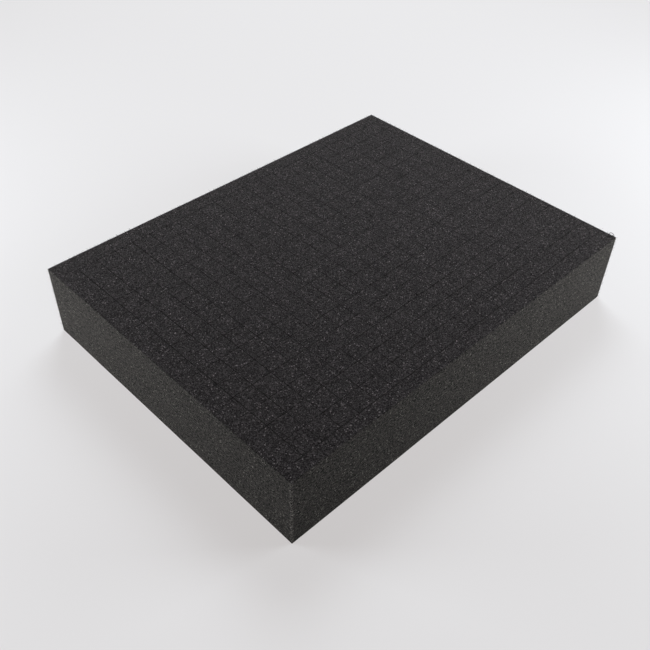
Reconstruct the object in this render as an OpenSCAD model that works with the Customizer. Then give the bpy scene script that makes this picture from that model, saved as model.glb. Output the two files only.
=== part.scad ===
// Raster foam tray for small figures: one block of soft open-cell foam, slit from above into
// square cells. A cell is torn out by hand along its slits, which leaves a pocket over an uncut floor.
// X runs along the length, Y from front to back and Z up, from the middle of the underside.
// All sizes are in millimetres and all angles in degrees.

/* [Block] */
// Length of the block, from left to right
block_length = 325; // [150:5:600]
// Width of the block, from front to back
block_width = 250; // [120:5:450]
// Height of the block
block_height = 58; // [30:1:120]

/* [Raster] */
// Spacing of the slits, which is the side of one cell
cell_pitch = 15; // [10:0.5:30]
// Width of a slit, as the knife leaves it
slit_width = 0.3; // [0.2:0.05:1]
// Foam left uncut below the slits
floor_thickness = 10; // [4:1:20]
// Uncut web that joins two neighbouring cells, halfway between two crossings
web_width = 2; // [1:0.25:4]
// Least foam left between the end of any cut and the side of the block
least_skin = 0.5; // [0.5:0.5:10]

/* [Set of the raster on the block] */
// How far the raster sits to the right of the middle
raster_shift_x = 4; // [-5:0.1:5]
// How far the raster sits behind the middle
raster_shift_y = -1.2; // [-5:0.1:5]
// How far the raster is turned, counter-clockwise from above
raster_turn = 0.6; // [-1:0.1:1]

/* [Hidden] */

// How far a knife passes above the top face, so that each slit is open
overcut = 1;

// Half the length of a cross cut, from the middle of its long slit to the web
cut_reach = (cell_pitch - web_width) / 2;

// How far the turn carries the raster's corners towards the ends and towards the front and back
drift_x = block_width / 2 * abs(sin(raster_turn));
drift_y = block_length / 2 * abs(sin(raster_turn));

// Whole cells that fit along one side of the block
function cells_along(side, shift, drift) =
    floor((side - 2 * (cut_reach + least_skin + abs(shift) + drift)) / cell_pitch);

cells_x = cells_along(block_length, raster_shift_x, drift_x);
cells_y = cells_along(block_width, raster_shift_y, drift_y);

// Place of one slit line among those that bound a number of cells, from the raster's middle
function line_place(line, cells) = (line - cells / 2) * cell_pitch;

// Right-hand edge of one knife from front to back. At each row it steps out round the cross cut,
// and between two rows it follows the wall of the long slit.
function knife_edge(rows) = [
    for (row = [0 : rows])
        let (y = line_place(row, rows), next_y = y + cell_pitch)
            each concat(
                [[cut_reach, y - slit_width / 2], [cut_reach, y + slit_width / 2]],
                row < rows
                    ? [[slit_width / 2, y + slit_width / 2], [slit_width / 2, next_y - slit_width / 2]]
                    : []
            )
];

// The same edge on the left, from back to front
function mirrored_back(edge) = [for (i = [len(edge) - 1 : -1 : 0]) [-edge[i].x, edge[i].y]];

// Outline of one knife: a long slit from the first row to the last, crossed at every row
module knife_outline() {
    edge = knife_edge(cells_y);
    polygon(concat(edge, mirrored_back(edge)));
}

// All the knives side by side, down to the floor of the tray
module raster() {
    translate([raster_shift_x, raster_shift_y, floor_thickness])
        rotate([0, 0, raster_turn])
            for (column = [0 : cells_x])
                translate([line_place(column, cells_x), 0, 0])
                    linear_extrude(height = block_height - floor_thickness + overcut)
                        knife_outline();
}

// The uncut block, resting on its underside
module block() {
    translate([-block_length / 2, -block_width / 2, 0])
        cube([block_length, block_width, block_height]);
}

// The tray: one block of foam, with its raster of slits
module foam_tray() {
    color([0.22, 0.21, 0.215])
        difference() {
            block();
            raster();
        }
}

foam_tray();
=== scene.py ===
"""Looks of a raster foam tray: one block of open-cell foam, slit from above into square cells.

The block is one mesh. Its top is a sheet that folds down into every slit, its sides and underside
are plainer sheets, and all of them are laid out with numpy as functions of two parameters. Short
strands stand along its edges, with one frayed wisp near a corner. The pores are a solid pattern in
the material, and the block has a flat map of its own for the export.
"""
import math

import bmesh
import bpy
import numpy as np
from mathutils import Matrix, Vector


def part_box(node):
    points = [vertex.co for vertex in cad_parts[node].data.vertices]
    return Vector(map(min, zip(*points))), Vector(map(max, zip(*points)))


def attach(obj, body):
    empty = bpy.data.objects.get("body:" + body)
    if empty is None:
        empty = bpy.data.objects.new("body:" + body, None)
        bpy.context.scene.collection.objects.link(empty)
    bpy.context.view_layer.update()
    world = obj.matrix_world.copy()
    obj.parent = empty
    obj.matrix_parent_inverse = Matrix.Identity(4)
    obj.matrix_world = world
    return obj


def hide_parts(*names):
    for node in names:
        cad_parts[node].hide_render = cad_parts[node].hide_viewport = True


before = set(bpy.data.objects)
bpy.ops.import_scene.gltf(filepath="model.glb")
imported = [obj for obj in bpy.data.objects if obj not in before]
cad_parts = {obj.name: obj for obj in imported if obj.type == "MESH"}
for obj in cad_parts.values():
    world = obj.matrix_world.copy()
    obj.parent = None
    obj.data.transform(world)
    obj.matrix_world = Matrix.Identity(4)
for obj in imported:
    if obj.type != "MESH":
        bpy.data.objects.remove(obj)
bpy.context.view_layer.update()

MM = 0.001

# The block, from the frame: the middle of its underside is the origin
HALF_X, HALF_Y, TOP = (float(side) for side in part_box("foam_tray")[1])
EDGE_RADIUS = 0.45 * MM

# The raster, with the sizes that the solid is cut to
PITCH = 15 * MM
COLUMNS, ROWS = 20, 15
SLIT_WIDTH = 0.3 * MM
WEB_WIDTH = 2 * MM
REACH = (PITCH - WEB_WIDTH) / 2
FLOOR_THICKNESS = 10 * MM
SHIFT = np.array([4.0, -1.2]) * MM
TURN = math.radians(0.6)

# Lines of the sheets: their distances from a long slit and from a cross cut, their shares of the
# way from the raster to the edge's curve, and their places on that curve as shares of its radius.
# The lines at a slit's foot and lips are nearer to its middle than LIP, and move with its opening
FOOT = 0.15 * SLIT_WIDTH
LIP = 0.6 * SLIT_WIDTH
LONG_LINES = [SLIT_WIDTH / 2, 0.7 * MM, 2.2 * MM, 4.3 * MM, REACH, REACH + 0.1 * MM]
CROSS_LINES = [SLIT_WIDTH / 2, 0.7 * MM, 2.6 * MM, 5 * MM]
END_BORDER = [0.5, 0.95, 1.0]
SIDE_BORDER = [0.2, 0.45, 0.72, 0.96, 1.0]
CURVE_LINES = np.array([0.0, 0.55, 1.0])
PLAIN_SPACING = 3.0 * MM
CURVE_MARGIN = 0.4 * MM

# How the knife left the slits: its wander to each side, and what makes a slit open more or less
WANDER, WANDER_LENGTH, WANDER_SPREAD = 0.07 * MM, 9 * MM, 1.6 * MM
OPENING_CHANGE, OPENING_LENGTH = 0.20, 4 * MM
CROSSING_GAIN, CROSSING_LENGTH = 0.2, 1.0 * MM
CUT_END_GAIN, CUT_END_LENGTH = 0.3, 0.7 * MM
CROSS_CUT_GAIN = 1.3

# How far the slits stand open across the raster: the share in its middle, the change for each
# metre along and across, and the least and most
LONG_OPEN, LONG_OPEN_ALONG, LONG_OPEN_ACROSS, LONG_OPEN_LIMITS = 0.88, -1.95, 1.2, (0.5, 1.3)
CROSS_OPEN, CROSS_OPEN_ACROSS, CROSS_OPEN_LIMITS = 0.86, -1.5, (0.65, 1.0)

# How the outer faces are worn: drawn in a little, with a long wave and a fine raggedness
DRAWN_IN = 0.21 * MM
WAVE, WAVE_LENGTH = 0.09 * MM, 30 * MM
RAGGEDNESS, RAGGED_LENGTH = 0.01 * MM, 4 * MM
WORN_DEPTH = 1.0 * MM

# Strands along the edges
FUZZ_SPACING = 0.55 * MM
FUZZ_LENGTHS = (0.65, 1.05)
FUZZ_ROOT = 0.75 * MM
FUZZ_LEAN, FUZZ_BEND, FUZZ_MOST = 0.45, 0.5, 0.6
FUZZ_RADIUS, FUZZ_TIP = 0.07 * MM, 0.4
FUZZ_ABOVE_FLOOR = 0.3 * MM
WISP_RADIUS, WISP_TIP = 0.26 * MM, 0.75
ARCH_HALF_WIDTH, ARCH_HALF_HEIGHT, ARCH_MIDDLE = 1.45 * MM, 1.15 * MM, 0.6 * MM

# The flat map
SHEET_SIDE = 470 * MM
SHEET_MARGIN, SHEET_GAP = 3 * MM, 5 * MM
UNDERSIDE_SCALE = 0.4

# Lengths in metres too small to count, for joining points, for dropping edges and for directions
MERGE = 1e-6
NO_EDGE = 1e-7
NO_LENGTH = 1e-12


# ---------------------------------------------------------------- shapes

def noise(points, size, seed):
    """Smooth noise from -1 to 1: random values on a cubic lattice of the given size, blended
    between the eight nearest lattice points with the ease curve 3 f squared - 2 f cubed, where f
    is the way from one to the next."""
    period, start = 32, 1000.5
    lattice = np.random.default_rng(seed).uniform(-1, 1, (period, period, period))
    p = np.asarray(points) / size + start
    base = np.floor(p).astype(int)
    f = p - base
    f = f * f * (3 - 2 * f)
    total = np.zeros(len(p))
    for corner in np.ndindex(2, 2, 2):
        weight = np.prod(np.where(corner, f, 1 - f), axis=1)
        x, y, z = ((base + corner) % period).T
        total += weight * lattice[x, y, z]
    return total


def slit_noise(along, slit, size, step, seed):
    """The same noise along each slit. It is read along a line of the seed's own, and each slit
    reads it one step further on, so that no two slits are alike."""
    along = along + step * slit
    row = seed * 7.3
    points = np.zeros((along.size, 3))
    points[:, 0] = along.ravel()
    points[:, 1] = row * size
    return noise(points, size, seed).reshape(along.shape)


def bell(distance, width):
    """A bell curve: e to the minus square of distance over width."""
    return np.exp(-(distance / width) ** 2)


def grid_faces(rows, columns, start=0):
    """Quads of a grid of points counted row by row."""
    index = np.arange(rows * columns).reshape(rows, columns) + start
    corners = [index[:-1, :-1], index[:-1, 1:], index[1:, 1:], index[1:, :-1]]
    return np.stack(corners, -1).reshape(-1, 4)


def sheet_lines(cells, beside, border):
    """Lines of the top sheet across one family of slits. They bunch at every slit: the slit's
    middle plus and minus each distance beside it, two lines along its foot, and one line halfway
    to the slit before. Past the raster the border's lines repeat the last place. Returns for each
    line its place from the raster's middle, the slit it belongs to, whether it is a foot line, and
    its way out to the edge: 0 in the raster, 1 where the edge's curve starts and 2 at the edge,
    negative at the low end."""
    offsets = np.array([-PITCH / 2] + [-d for d in reversed(beside)] + [-FOOT, FOOT] + beside)
    count = np.arange(cells + 1)
    places = ((count[:, None] - cells / 2) * PITCH + offsets).ravel()[1:]
    slits = np.repeat(count, len(offsets))[1:]
    feet = np.tile(np.abs(offsets) < 2 * FOOT, cells + 1)[1:]
    way = np.concatenate([border, 1 + CURVE_LINES[1:]])
    out = np.concatenate([-way[::-1], np.zeros(len(places)), way])
    places, slits = (np.pad(values, len(way), mode="edge") for values in (places, slits))
    return places, slits, np.pad(feet, len(way)), out


def place_on_block(core, out, half_side):
    """Moves border points out from the raster to the edge: first evenly, then by the edge's
    radius over the last stretch."""
    side = np.sign(out) * (half_side - EDGE_RADIUS)
    flat = np.clip(np.abs(out), 0, 1)
    curve = np.clip(np.abs(out) - 1, 0, 1)
    return core * (1 - flat) + side * flat + np.sign(out) * EDGE_RADIUS * curve


def slit_openness(S, T):
    """How far the slits stand open at a place of the raster, as a share of their width: linear in
    the place, within limits. The long slits close up towards the right end and a little towards
    the front, and the cross cuts towards the back."""
    long_share = LONG_OPEN + LONG_OPEN_ALONG * S + LONG_OPEN_ACROSS * T
    cross_share = CROSS_OPEN + CROSS_OPEN_ACROSS * T
    return np.clip(long_share, *LONG_OPEN_LIMITS), np.clip(cross_share, *CROSS_OPEN_LIMITS)


def top_sheet():
    """The top of the block as a grid of points whose outermost lines lie on the block's edges. In
    plan, a point is where two lines cross, moved with the knife's wander and the slit's opening,
    then turned and shifted onto the block, and spread out to the edges in the border. It is as
    high as the top, or as the uncut floor at the foot of an open slit."""
    s, s_slit, s_foot, s_out = sheet_lines(COLUMNS, LONG_LINES, END_BORDER)
    t, t_slit, t_foot, t_out = sheet_lines(ROWS, CROSS_LINES, SIDE_BORDER)
    S, T = np.meshgrid(s, t)
    slit_s, slit_t = np.meshgrid(s_slit, t_slit)
    foot_s, foot_t = np.meshgrid(s_foot, t_foot)
    out_s, out_t = np.meshgrid(s_out, t_out)
    from_s = S - (slit_s - COLUMNS / 2) * PITCH
    from_t = T - (slit_t - ROWS / 2) * PITCH

    # Where the two families of slits are cut: the long ones over all rows, the others by dashes
    inside = (out_s == 0) & (out_t == 0)
    long_open = inside & (np.abs(T) < ROWS / 2 * PITCH + SLIT_WIDTH)
    cross_open = inside & (np.abs(from_s) < REACH + 0.01 * MM)

    # The knife wanders a little, and a slit opens more at crossings and at a cut's ends
    wander_s = WANDER * slit_noise(T, slit_s, WANDER_LENGTH, step=0.37, seed=3)
    wander_t = WANDER * slit_noise(S, slit_t, WANDER_LENGTH, step=0.53, seed=5)
    change_s = OPENING_CHANGE * slit_noise(T, slit_s, OPENING_LENGTH, step=0.91, seed=7)
    change_t = OPENING_CHANGE * slit_noise(S, slit_t, OPENING_LENGTH, step=0.83, seed=8)
    crossing_s = CROSSING_GAIN * bell(from_t, CROSSING_LENGTH)
    crossing_t = CROSSING_GAIN * bell(from_s, CROSSING_LENGTH)
    cut_end = CUT_END_GAIN * bell(np.abs(from_s) - REACH, CUT_END_LENGTH)
    open_s, open_t = slit_openness(S, T)
    wide_s = open_s * (1.0 + change_s + crossing_s)
    wide_t = (CROSS_CUT_GAIN + change_t + crossing_t + cut_end) * open_t
    near_s = bell(from_s, WANDER_SPREAD) * long_open
    near_t = bell(from_t, WANDER_SPREAD) * cross_open
    lip_s = (np.abs(from_s) < LIP) & long_open
    lip_t = (np.abs(from_t) < LIP) & cross_open
    S_cut = S + wander_s * near_s + np.where(lip_s, from_s * (wide_s - 1), 0)
    T_cut = T + wander_t * near_t + np.where(lip_t, from_t * (wide_t - 1), 0)

    # Onto the block
    cos_turn, sin_turn = math.cos(TURN), math.sin(TURN)
    X = place_on_block(cos_turn * S_cut - sin_turn * T_cut + SHIFT[0], out_s, HALF_X)
    Y = place_on_block(sin_turn * S_cut + cos_turn * T_cut + SHIFT[1], out_t, HALF_Y)

    foot = (foot_s & long_open) | (foot_t & cross_open)
    Z = np.where(foot, FLOOR_THICKNESS, TOP)
    return np.stack([X, Y, Z], -1)


def plain_lines(half_side):
    """Evenly spaced lines from edge to edge, with one more where each edge's curve starts and two
    on the curve."""
    flat = half_side - EDGE_RADIUS
    last = flat - CURVE_MARGIN
    count = int(round(2 * last / PLAIN_SPACING))
    middle = np.linspace(-last, last, count + 1)
    curve = flat + CURVE_LINES * EDGE_RADIUS
    return np.concatenate([-curve[::-1], middle, curve])


def zip_edges(fine, coarse, fine_start, coarse_start):
    """Triangles between two rows of points along one edge, a fine and a coarse one: each fine
    step takes the coarse point nearest to its middle, and each coarse step takes the fine point
    at which that choice moves on."""
    middles = (fine[1:] + fine[:-1]) / 2
    nearest = np.abs(middles[:, None] - coarse[None, :]).argmin(1)
    nearest[0], nearest[-1] = 0, len(coarse) - 1
    steps = np.arange(len(fine) - 1)
    first = np.stack([fine_start + steps, fine_start + steps + 1, coarse_start + nearest], -1)
    change = np.searchsorted(nearest, np.arange(1, len(coarse)))
    links = np.arange(len(coarse) - 1)
    second = np.stack([coarse_start + links + 1, coarse_start + links, fine_start + change], -1)
    return np.concatenate([first, second])


def rounded(points):
    """Carries points on the plain block's faces onto the block with rounded edges: each is drawn
    in to the block shrunk by the radius, then out again by the radius along the way it came."""
    middle = np.array([0, 0, TOP / 2])
    half = np.array([HALF_X, HALF_Y, TOP / 2]) - EDGE_RADIUS
    local = points - middle
    core = np.clip(local, -half, half)
    away = local - core
    length = np.linalg.norm(away, axis=1, keepdims=True)
    outward = away / np.maximum(length, NO_LENGTH)
    return middle + core + np.where(length > 0, outward * EDGE_RADIUS, 0)


def foam_sheets():
    """All sheets of the block together: the top, a zipped strip under its edge, the sides and the
    underside. Returns the points, the quads and the triangles."""
    top = top_sheet()
    xs, ys = plain_lines(HALF_X), plain_lines(HALF_Y)
    zs = (plain_lines(TOP / 2) + TOP / 2)[:-1]
    vertices, quads, triangles = [top.reshape(-1, 3)], [grid_faces(*top.shape[:2])], []
    count = len(vertices[0])

    def add_grid(points, flip):
        """A plain sheet, with its quads turned round where flip is true."""
        nonlocal count
        faces = grid_faces(*points.shape[:2], count)
        vertices.append(points.reshape(-1, 3))
        quads.append(faces[:, ::-1] if flip else faces)
        count += len(vertices[-1])

    def add_strip(fine, coarse, axis, flip):
        """The zipped strip between the top's fine edge and a side's coarse one."""
        nonlocal count
        vertices.append(np.concatenate([fine, coarse]))
        faces = zip_edges(fine[:, axis], coarse[:, axis], count, count + len(fine))
        triangles.append(faces[:, ::-1] if flip else faces)
        count += len(vertices[-1])

    X, Y = np.meshgrid(xs, ys)
    add_grid(np.stack([X, Y, np.zeros_like(X)], -1), True)
    X, Z = np.meshgrid(xs, zs)
    for side in (-1, 1):
        add_grid(np.stack([X, np.full_like(X, side * HALF_Y), Z], -1), side > 0)
        coarse = np.stack([xs, np.full_like(xs, side * HALF_Y), np.full_like(xs, zs[-1])], -1)
        add_strip(top[0 if side < 0 else -1], coarse, 0, side < 0)
    Y, Z = np.meshgrid(ys, zs)
    for side in (-1, 1):
        add_grid(np.stack([np.full_like(Y, side * HALF_X), Y, Z], -1), side < 0)
        coarse = np.stack([np.full_like(ys, side * HALF_X), ys, np.full_like(ys, zs[-1])], -1)
        add_strip(top[:, 0 if side < 0 else -1], coarse, 1, side > 0)
    return np.concatenate(vertices), np.concatenate(quads), np.concatenate(triangles)


def worn(points):
    """The hand-cut look of the outer faces. A point moves in by (a fifth of a millimetre + a long
    wave + a fine raggedness) x (1 - its depth under the face over the worn depth). The underside
    stays flat."""
    out = points.copy()
    local = points - np.array([0, 0, TOP / 2])
    depth = np.array([HALF_X, HALF_Y, TOP / 2]) - np.abs(local)
    on_side = np.clip(1 - depth / WORN_DEPTH, 0, 1)
    on_side[:, 2] *= local[:, 2] > 0
    for axis in range(3):
        wave = WAVE * noise(points, WAVE_LENGTH, 20 + axis)
        wave = wave + RAGGEDNESS * noise(points, RAGGED_LENGTH, 30 + axis)
        inward = np.maximum(DRAWN_IN + wave, 0)
        out[:, axis] -= np.sign(local[:, axis]) * inward * on_side[:, axis]
    return out


def lay_out_faces(mesh):
    """A flat map of the block for the export, in which each face lies square on a sheet at one
    scale: (u, v) = place of the face on the sheet + the two coordinates along it, over the sheet's
    side. The underside is drawn smaller, and all slit walls lie over each other."""
    polygons, corners = len(mesh.polygons), len(mesh.loops)
    normal, centre = np.empty(polygons * 3), np.empty(polygons * 3)
    mesh.polygons.foreach_get("normal", normal)
    mesh.polygons.foreach_get("center", centre)
    count, vertex = np.empty(polygons, int), np.empty(corners, int)
    mesh.polygons.foreach_get("loop_total", count)
    mesh.loops.foreach_get("vertex_index", vertex)
    place = np.empty(len(mesh.vertices) * 3)
    mesh.vertices.foreach_get("co", place)
    normal, centre, place = (values.reshape(-1, 3) for values in (normal, centre, place))

    # Which way each face looks, and whether it is one of the block's outer faces. The top, the
    # back and the right end look along plus
    facing = np.abs(normal).argmax(1)
    to_x, to_y, to_z = (facing == axis for axis in range(3))
    outer = ([HALF_X, HALF_Y] - np.abs(centre[:, :2])).min(1) < WORN_DEPTH
    plus = normal > 0
    x, y, z = (place[vertex] + [HALF_X, HALF_Y, 0]).T

    # Columns and rows of the sheet, for faces as long, as wide or as high as the block
    length, width, height = 2 * HALF_X, 2 * HALF_Y, TOP
    first = SHEET_MARGIN
    past_top = first + length + SHEET_GAP
    past_front = past_top + height + SHEET_GAP
    above_top = first + width + SHEET_GAP
    above_left = above_top + height + SHEET_GAP
    above_right = above_left + height + SHEET_GAP
    small = UNDERSIDE_SCALE
    sheet = [
        (to_z & plus[:, 2], x, y, first, first, 1),
        (to_z & ~plus[:, 2], x, y, past_top, past_top, small),
        (to_y & outer & ~plus[:, 1], z, x, past_top, first, 1),
        (to_y & outer & plus[:, 1], z, x, past_front, first, 1),
        (to_x & outer & ~plus[:, 0], y, z, first, above_top, 1),
        (to_x & outer & plus[:, 0], y, z, first, above_left, 1),
        (to_x & ~outer, y, z, first, above_right, 1),
        (to_y & ~outer, x, z, first, above_right, 1),
    ]
    uv = np.zeros((corners, 2))
    for chosen, across, along, left, low, scale in sheet:
        mine = np.repeat(chosen, count)
        uv[mine, 0] = (left + across[mine] * scale) / SHEET_SIDE
        uv[mine, 1] = (low + along[mine] * scale) / SHEET_SIDE
    layer = mesh.uv_layers.new(name="OFBake")
    layer.uv.foreach_set("vector", uv.astype(np.float32).ravel())


def add_to_scene(name, data):
    """An object at the origin that holds the given mesh, lamp or camera."""
    thing = bpy.data.objects.new(name, data)
    bpy.context.scene.collection.objects.link(thing)
    return thing


def make_foam_block():
    """The block: its sheets rounded and worn except inside the slits, joined where they meet, and
    smooth wherever two faces meet at less than 40 degrees."""
    points, quads, triangles = foam_sheets()
    in_slit = points[:, 2] < TOP / 2
    on_side = np.any(np.abs(points[:, :2]) > [HALF_X - MERGE, HALF_Y - MERGE], axis=1)
    shell = ~in_slit | on_side | (points[:, 2] < MERGE)
    points[shell] = worn(rounded(points[shell]))
    mesh = bpy.data.meshes.new("foam_block")
    mesh.from_pydata(points.tolist(), [], quads.tolist() + triangles.tolist())
    joined = bmesh.new()
    joined.from_mesh(mesh)
    bmesh.ops.remove_doubles(joined, verts=joined.verts, dist=MERGE)
    bmesh.ops.dissolve_degenerate(joined, edges=joined.edges, dist=NO_EDGE)
    joined.to_mesh(mesh)
    joined.free()
    lay_out_faces(mesh)
    mesh.shade_smooth()
    mesh.set_sharp_from_angle(angle=math.radians(40))
    return add_to_scene("foam_block", mesh)


def make_strands(name, paths, radius, tip):
    """Thin strands as three-sided tubes: rings around each path, in the plane across its run, of a
    radius that falls to its tip share at the end, with a triangle closing each end. paths holds
    the points of every strand, in an array of strands, points and coordinates."""
    count, points = paths.shape[:2]
    along = np.gradient(paths, axis=1)
    along /= np.linalg.norm(along, axis=2, keepdims=True)
    is_steep = np.abs(along[..., 2:]) >= 0.8
    helper = np.where(is_steep, [[[1.0, 0.0, 0.0]]], [[[0.0, 0.0, 1.0]]])
    across = np.cross(along, helper)
    across /= np.linalg.norm(across, axis=2, keepdims=True)
    third = np.cross(along, across)
    angle = (np.arange(3) * 2 * math.pi / 3)[:, None]
    taper = np.linspace(1, tip, points)[None, :, None, None] * radius
    ring = across[:, :, None] * np.cos(angle) + third[:, :, None] * np.sin(angle)
    vertices = (paths[:, :, None] + ring * taper).reshape(-1, 3)
    index = np.arange(count * points * 3).reshape(count, points, 3)
    turned = np.roll(index, -1, axis=2)
    corners = [index[:, :-1], turned[:, :-1], turned[:, 1:], index[:, 1:]]
    quads = np.stack(corners, -1).reshape(-1, 4)
    ends = np.concatenate([index[:, 0, ::-1], index[:, -1]])
    mesh = bpy.data.meshes.new(name)
    mesh.from_pydata(vertices.tolist(), [], quads.tolist() + ends.tolist())
    mesh.shade_smooth()
    return add_to_scene(name, mesh)


def make_edge_fuzz():
    """Struts of the foam that the knife left standing along the top and upright edges: each runs
    out from a random place along an edge, on the slant between its two faces, and bends. A path
    is root + (out + lean) length t + bend length t squared, kept above the floor."""
    random = np.random.default_rng(31)
    x, y, z = HALF_X, HALF_Y, TOP
    edges = np.array([
        [[-x, -y, z], [x, -y, z], [0, -1, 1]], [[-x, y, z], [x, y, z], [0, 1, 1]],
        [[-x, -y, z], [-x, y, z], [-1, 0, 1]], [[x, -y, z], [x, y, z], [1, 0, 1]],
        [[-x, -y, 0], [-x, -y, z], [-1, -1, 0]], [[x, -y, 0], [x, -y, z], [1, -1, 0]],
        [[-x, y, 0], [-x, y, z], [-1, 1, 0]], [[x, y, 0], [x, y, z], [1, 1, 0]],
    ])
    start, end, slant = edges[:, 0], edges[:, 1], edges[:, 2]
    counts = (np.linalg.norm(end - start, axis=1) / FUZZ_SPACING).astype(int)
    edge = np.repeat(np.arange(len(edges)), counts)
    place = random.uniform(0.01, 0.99, len(edge))[:, None]
    out = slant[edge] / math.sqrt(2)
    root = start[edge] * (1 - place) + end[edge] * place - out * FUZZ_ROOT
    lean = np.clip(random.normal(0, FUZZ_LEAN, out.shape), -FUZZ_MOST, FUZZ_MOST)
    bend = np.clip(random.normal(0, FUZZ_BEND, out.shape), -FUZZ_MOST, FUZZ_MOST)
    length = random.uniform(*FUZZ_LENGTHS, (len(edge), 1, 1)) * MM
    t = np.linspace(0, 1, 4)[None, :, None]
    paths = root[:, None] + (out + lean)[:, None] * length * t + bend[:, None] * length * t ** 2
    paths[..., 2] = np.maximum(paths[..., 2], FUZZ_ABOVE_FLOOR)
    return make_strands("edge_fuzz", paths, FUZZ_RADIUS, FUZZ_TIP)


def make_corner_tuft():
    """The frayed wisp near the right corner of the top: an arch of strand that stands on the edge
    of the end face, as 330 degrees of an ellipse, and three short strands beside it, each a
    straight run plus a bow times t (1 - t)."""
    random = np.random.default_rng(5)
    foot = np.array([HALF_X - 0.7 * MM, -HALF_Y + 4.3 * MM, TOP])
    t = np.linspace(0, 1, 16)[:, None]
    turn = math.radians(330) * t - math.radians(75)
    lean, along, up = np.array([[0.5, 0, 0], [0, 1, 0], [-0.15, 0, 1]])
    ellipse = along * np.cos(turn) * ARCH_HALF_WIDTH
    ellipse = ellipse + up * (ARCH_MIDDLE + ARCH_HALF_HEIGHT * np.sin(turn))
    arch = foot + lean * (t - 0.3) * MM + ellipse
    scatter = random.uniform(-1, 1, (3, 1, 3)) * np.array([0.3, 3.0, 0.0]) * MM
    starts = foot + scatter - [0, 0, 0.6 * MM]
    ends = (random.normal(0, 0.5, (3, 1, 3)) + [0.4, 0, 1.7]) * MM
    bow = random.normal(0, 0.8, (3, 1, 3)) * MM
    wisps = starts + ends * t + bow * t * (1 - t)
    return make_strands("corner_tuft", np.concatenate([arch[None], wisps]), WISP_RADIUS, WISP_TIP)


# ---------------------------------------------------------------- materials

# The foam's colours on its sides and its top, and how little it shines
SIDE_COLOUR = (0.0244, 0.0230, 0.0214, 1)
TOP_COLOUR = (0.0194, 0.0176, 0.0184, 1)
ROUGHNESS, SPECULAR = 0.95, 0.04
SHEEN, SHEEN_ROUGHNESS = 0.08, 0.3

# Pores: their size, the struts between them, and the tones that make up their shade
PORE_SIZE, STRUT_WIDTH = 0.55 * MM, 0.20
PORE_CURVE, PORE_GAIN = 2.0, 2.4
PORE_TONE, STRUT_TONE = 0.8, 1.4
# Painted glints: how bright they are, and the random number past which a pore gets one
PAINTED_GLINT, PAINTED_GLINTS_FROM = 10, 0.967
RELIEF, RELIEF_STRENGTH = 0.2 * MM, 0.7
MOTTLE_LOW, MOTTLE_HIGH, MOTTLE_SIZE = 0.98, 1.02, 16 * MM

# What differs between sides and top, which are told apart by how far a face looks up
LOOKS_SIDEWAYS, LOOKS_UP = 0.5, 0.9
SIDE_CONTRAST, TOP_CONTRAST = 0.74, 0.78
SIDE_RIPPLE, RIPPLE_LENGTH = 3.5, 2.2 * MM

# Edges painted paler as highlights, each with the depths between which its tone fades out, and slit
# walls painted darker as shade
UPRIGHT_HIGHLIGHT, UPRIGHT_DEPTHS = 2.5, (0.5 * MM, 2.0 * MM)
RIM_HIGHLIGHT, RIM_DEPTHS = 1.16, (0.3 * MM, 1.4 * MM)
WALL_SHADE, WALL_DEPTH = 0.1, 0.6 * MM

# The floor's board, its tone under light and shadow where it is seen, and the tone far away
BOARD_COLOUR = (0.80, 0.79, 0.795, 1)
SEEN_COLOUR = (0.210, 0.225, 0.239, 1)
GLOW_COLOUR = (1.046, 1.0, 0.988, 1)
NEAR_GLOW, BACKDROP_GLOW = 0.50, 0.78
GLOW_REACH = (0.8, 2.5)


def new_material(name):
    """An empty material and its node tree."""
    material = bpy.data.materials.new(name)
    material.use_nodes = True
    tree = material.node_tree
    tree.nodes.clear()
    return material, tree


def link(tree, a, out, b, inp):
    """Joins output out of node a to input inp of node b."""
    tree.links.new(a.outputs[out], b.inputs[inp])


def spread(tree, value, low, high, start=0.0, end=1.0):
    """Maps a value from start..end onto low..high."""
    node = tree.nodes.new("ShaderNodeMapRange")
    tree.links.new(value, node.inputs["Value"])
    for name, number in (("From Min", start), ("From Max", end), ("To Min", low), ("To Max", high)):
        node.inputs[name].default_value = number
    return node.outputs["Result"]


def combine(tree, operation, a, b):
    """One step of arithmetic on two values, each a socket or a plain number."""
    node = tree.nodes.new("ShaderNodeMath")
    node.operation = operation
    for socket, value in zip(node.inputs, (a, b)):
        if isinstance(value, float):
            socket.default_value = value
        else:
            tree.links.new(value, socket)
    return node.outputs[0]


def pore_layer(tree, coords):
    """Pores as cells of a solid pattern that the knife has cut through. Gives the share of strut
    at each point, which eases from 1 on the cell's border to 0 inside, and two random numbers
    for each pore."""
    edges, cells = (tree.nodes.new("ShaderNodeTexVoronoi") for _ in range(2))
    edges.feature = "DISTANCE_TO_EDGE"
    for pattern in (edges, cells):
        pattern.inputs["Scale"].default_value = 1 / PORE_SIZE
        link(tree, coords, "Object", pattern, "Vector")
    strut = spread(tree, edges.outputs["Distance"], 1, 0, 0.3 * STRUT_WIDTH, STRUT_WIDTH)
    strut.node.interpolation_type = "SMOOTHSTEP"
    split = tree.nodes.new("ShaderNodeSeparateColor")
    link(tree, cells, "Color", split, "Color")
    return strut, split.outputs["Red"], split.outputs["Green"]


def pore_tone(tree, strut, shade, glint_chance):
    """Lightness of the pores: a random shade of each pore's own, curved so that most are dark,
    times the struts' lightness, plus a painted glint in the few pores that a random number picks."""
    tone = combine(tree, "MULTIPLY", combine(tree, "POWER", shade, PORE_CURVE), PORE_GAIN)
    tone = combine(tree, "MULTIPLY", tone, spread(tree, strut, PORE_TONE, STRUT_TONE))
    # Plus a painted glint in a few pores
    return combine(tree, "ADD", tone, spread(tree, glint_chance, 0.0, PAINTED_GLINT, PAINTED_GLINTS_FROM, 1.0))


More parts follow.
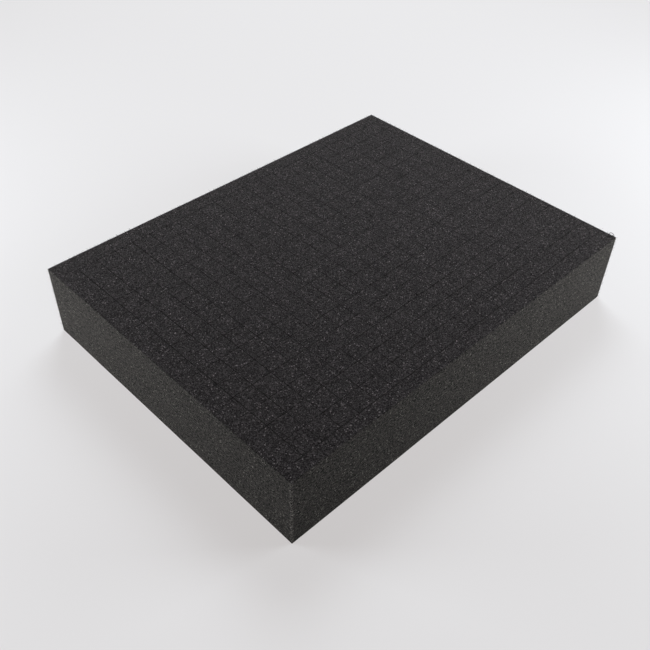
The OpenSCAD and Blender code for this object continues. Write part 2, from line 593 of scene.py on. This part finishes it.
def mottle(tree, coords):
    """A faint soft blotchiness about 1."""
    blotch = tree.nodes.new("ShaderNodeTexNoise")
    blotch.inputs["Scale"].default_value = 1 / MOTTLE_SIZE
    blotch.inputs["Detail"].default_value = 0
    link(tree, coords, "Object", blotch, "Vector")
    return spread(tree, blotch.outputs[0], MOTTLE_LOW, MOTTLE_HIGH, 0.3, 0.7)


def side_ripple(tree, coords, looks_up):
    """An even ripple about 0, with one main wavelength and no set direction, on the sides only:
    it fades out where a face looks up."""
    waves = tree.nodes.new("ShaderNodeTexGabor")
    waves_in_a_patch = 2.5
    waves.gabor_type = "3D"
    waves.inputs["Scale"].default_value = 1 / (waves_in_a_patch * RIPPLE_LENGTH)
    waves.inputs["Frequency"].default_value = waves_in_a_patch
    waves.inputs["Anisotropy"].default_value = 0.0
    link(tree, coords, "Object", waves, "Vector")
    share = spread(tree, looks_up, SIDE_RIPPLE, 0.0, LOOKS_SIDEWAYS, LOOKS_UP)
    return combine(tree, "MULTIPLY", combine(tree, "SUBTRACT", waves.outputs["Value"], 0.5), share)


def depths(tree, coords):
    """Depths of a point under the end faces, the long faces and the top."""
    place = tree.nodes.new("ShaderNodeSeparateXYZ")
    link(tree, coords, "Object", place, "Vector")
    to_end = combine(tree, "ABSOLUTE", place.outputs["X"], 0.0)
    to_side = combine(tree, "ABSOLUTE", place.outputs["Y"], 0.0)
    from_end = combine(tree, "SUBTRACT", HALF_X, to_end)
    from_side = combine(tree, "SUBTRACT", HALF_Y, to_side)
    from_top = combine(tree, "SUBTRACT", TOP, place.outputs["Z"])
    return from_end, from_side, from_top


def painted_edge_highlight(tree, from_end, from_side, from_top):
    """Painted highlight: the edges are painted paler, as where light catches them, strongly along
    the upright edges and a little along the top ones. The distance from an upright edge is the
    larger of the depths under its two faces, and that from a top edge the larger of the depth under
    the top and the smaller of the other two."""
    upright = combine(tree, "MAXIMUM", from_end, from_side)
    rim = combine(tree, "MAXIMUM", combine(tree, "MINIMUM", from_end, from_side), from_top)
    upright_highlight = spread(tree, upright, UPRIGHT_HIGHLIGHT, 1.0, *UPRIGHT_DEPTHS)
    rim_highlight = spread(tree, rim, RIM_HIGHLIGHT, 1.0, *RIM_DEPTHS)
    return combine(tree, "MULTIPLY", upright_highlight, rim_highlight)


def painted_wall_shade(tree, from_end, from_side, looks_up):
    """Painted shade on the walls inside the slits: they are painted darker than the open faces, as
    little light gets in. Gives the walls' shade tone where a face stands upright inside the
    block's outline, and 1 elsewhere."""
    depth = combine(tree, "MINIMUM", from_end, from_side)
    inside = combine(tree, "GREATER_THAN", depth, WALL_DEPTH)
    steepness = combine(tree, "ABSOLUTE", looks_up, 0.0)
    upright = combine(tree, "LESS_THAN", steepness, 0.5)
    return spread(tree, combine(tree, "MULTIPLY", inside, upright), 1.0, WALL_SHADE)


def foam_material():
    """Cut open-cell foam: each pore has a depth of shade of its own between paler struts, and now
    and then a pore carries a painted glint. That tone, drawn to 1 by the contrast and changed by
    ripple, painted highlights along the edges and painted shade on the slit walls, multiplies the
    face's colour, which is warmer on the sides. A faint sheen lightens the foam at grazing angles."""
    material, tree = new_material("charcoal_foam")
    new = tree.nodes.new
    output, shader = new("ShaderNodeOutputMaterial"), new("ShaderNodeBsdfPrincipled")
    link(tree, shader, "BSDF", output, "Surface")
    shader.inputs["Roughness"].default_value = ROUGHNESS
    shader.inputs["Specular IOR Level"].default_value = SPECULAR
    shader.inputs["Sheen Weight"].default_value = SHEEN
    shader.inputs["Sheen Roughness"].default_value = SHEEN_ROUGHNESS
    coords, normal = new("ShaderNodeTexCoord"), new("ShaderNodeSeparateXYZ")
    link(tree, coords, "Normal", normal, "Vector")
    looks_up = normal.outputs["Z"]

    strut, shade, glint_chance = pore_layer(tree, coords)
    tone = combine(tree, "MULTIPLY", pore_tone(tree, strut, shade, glint_chance), mottle(tree, coords))
    faces = (LOOKS_SIDEWAYS, LOOKS_UP)
    contrast = spread(tree, looks_up, SIDE_CONTRAST, TOP_CONTRAST, *faces)
    tone = combine(tree, "MULTIPLY", combine(tree, "SUBTRACT", tone, 1.0), contrast)
    tone = combine(tree, "ADD", tone, 1.0)
    tone = combine(tree, "ADD", tone, side_ripple(tree, coords, looks_up))
    tone = combine(tree, "MAXIMUM", tone, 0.0)
    from_end, from_side, from_top = depths(tree, coords)
    # Painted highlights along the edges, as where light catches them
    tone = combine(tree, "MULTIPLY", tone, painted_edge_highlight(tree, from_end, from_side, from_top))
    # Painted shade on the slit walls, where little light gets in
    tone = combine(tree, "MULTIPLY", tone, painted_wall_shade(tree, from_end, from_side, looks_up))

    face = new("ShaderNodeMix")
    face.data_type = "RGBA"
    share, side_socket, top_socket = face.inputs[0], face.inputs[6], face.inputs[7]
    side_socket.default_value = SIDE_COLOUR
    top_socket.default_value = TOP_COLOUR
    tree.links.new(spread(tree, looks_up, 0.0, 1.0, *faces), share)
    colour = new("ShaderNodeVectorMath")
    colour.operation = "SCALE"
    link(tree, face, 2, colour, 0)
    tree.links.new(tone, colour.inputs["Scale"])
    link(tree, colour, 0, shader, "Base Color")

    relief = new("ShaderNodeBump")
    relief.inputs["Strength"].default_value = RELIEF_STRENGTH
    relief.inputs["Distance"].default_value = RELIEF
    tree.links.new(strut, relief.inputs["Height"])
    link(tree, relief, "Normal", shader, "Normal")
    return material


def seen_directly(tree):
    """1 for rays that show the backdrop itself, straight, in a reflection or through something
    clear, and 0 for the rest."""
    path = tree.nodes.new("ShaderNodeLightPath")
    straight, glossy = path.outputs["Is Camera Ray"], path.outputs["Is Glossy Ray"]
    either = combine(tree, "MAXIMUM", straight, glossy)
    return combine(tree, "MAXIMUM", either, path.outputs["Is Transmission Ray"])


def floor_material():
    """Pale matt board. It lights the block as plain board does. Seen directly, it keeps an even
    pale tone of its own under softened light and shadow, and that tone takes over far away."""
    material, tree = new_material("pale_board")
    new = tree.nodes.new
    output, choice = new("ShaderNodeOutputMaterial"), new("ShaderNodeMixShader")
    board, seen = new("ShaderNodeBsdfDiffuse"), new("ShaderNodeBsdfDiffuse")
    glow, both = new("ShaderNodeEmission"), new("ShaderNodeAddShader")
    board.inputs["Color"].default_value = BOARD_COLOUR
    seen.inputs["Color"].default_value = SEEN_COLOUR
    glow.inputs["Color"].default_value = GLOW_COLOUR
    coords, distance = new("ShaderNodeTexCoord"), new("ShaderNodeVectorMath")
    distance.operation = "LENGTH"
    link(tree, coords, "Object", distance, 0)
    strength = spread(tree, distance.outputs["Value"], NEAR_GLOW, BACKDROP_GLOW, *GLOW_REACH)
    tree.links.new(strength, glow.inputs["Strength"])
    link(tree, seen, "BSDF", both, 0)
    link(tree, glow, "Emission", both, 1)
    tree.links.new(seen_directly(tree), choice.inputs[0])
    link(tree, board, "BSDF", choice, 1)
    link(tree, both, "Shader", choice, 2)
    link(tree, choice, "Shader", output, "Surface")
    return material


# ---------------------------------------------------------------- stage, lights and camera

def make_floor():
    """A square board under the block, far wider than what the camera sees."""
    half = 4.0
    mesh = bpy.data.meshes.new("floor")
    corners = [(-half, -half, 0), (half, -half, 0), (half, half, 0), (-half, half, 0)]
    mesh.from_pydata(corners, [], [(0, 1, 2, 3)])
    mesh.materials.append(floor_material())
    add_to_scene("floor", mesh)


def toward(bearing, elevation):
    """A direction from its bearing, counter-clockwise from +X, and its elevation, in degrees."""
    b, e = math.radians(bearing), math.radians(elevation)
    return Vector((math.cos(b) * math.cos(e), math.sin(b) * math.cos(e), math.sin(e)))


def make_lamp(name, bearing, elevation, distance, size, power):
    """A square softbox in the direction given by bearing and elevation, facing the block."""
    data = bpy.data.lights.new(name, "AREA")
    data.shape = "SQUARE"
    data.size = size
    data.energy = power
    lamp = add_to_scene(name, data)
    away = toward(bearing, elevation)
    lamp.location = away * distance
    lamp.rotation_euler = (-away).to_track_quat("-Z", "Y").to_euler()


def make_world():
    """The room beyond the floor. It gives no light, and seen directly it has the backdrop's tone."""
    world = bpy.data.worlds.new("room")
    bpy.context.scene.world = world
    world.use_nodes = True
    tree = world.node_tree
    background = tree.nodes["Background"]
    background.inputs["Color"].default_value = (1, 1, 1, 1)
    strength = spread(tree, seen_directly(tree), 0.0, BACKDROP_GLOW)
    tree.links.new(strength, background.inputs["Strength"])


def make_camera():
    """A camera that looks down on the block over its front left corner, rolled a little."""
    back = toward(-135.049, 42.553)
    roll = math.radians(1.442)
    target = Vector((-39.64 * MM, -24.86 * MM, TOP / 2))
    distance = 578.05 * MM
    data = bpy.data.cameras.new("camera")
    data.sensor_width = 36
    data.lens = 45.918
    data.clip_start, data.clip_end = 0.01, 20
    camera = add_to_scene("camera", data)
    level = (-back).to_track_quat("-Z", "Y").to_matrix()
    rolled = level @ Matrix.Rotation(roll, 3, "Z")
    camera.matrix_world = Matrix.Translation(target + back * distance) @ rolled.to_4x4()
    bpy.context.scene.camera = camera


make_floor()
make_world()
make_lamp("left_softbox", bearing=139, elevation=12, distance=0.75, size=0.35, power=7.6)
make_lamp("right_softbox", bearing=-39, elevation=16, distance=0.75, size=0.45, power=8.3)
make_lamp("back_softbox", bearing=45, elevation=49, distance=1.7, size=0.9, power=28)
make_camera()

foam = foam_material()
block, fuzz, tuft = make_foam_block(), make_edge_fuzz(), make_corner_tuft()
for piece in (block, fuzz, tuft):
    piece.data.materials.append(foam)
    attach(piece, "root")
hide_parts("foam_tray")

bpy.context.scene.view_settings.view_transform = "Standard"
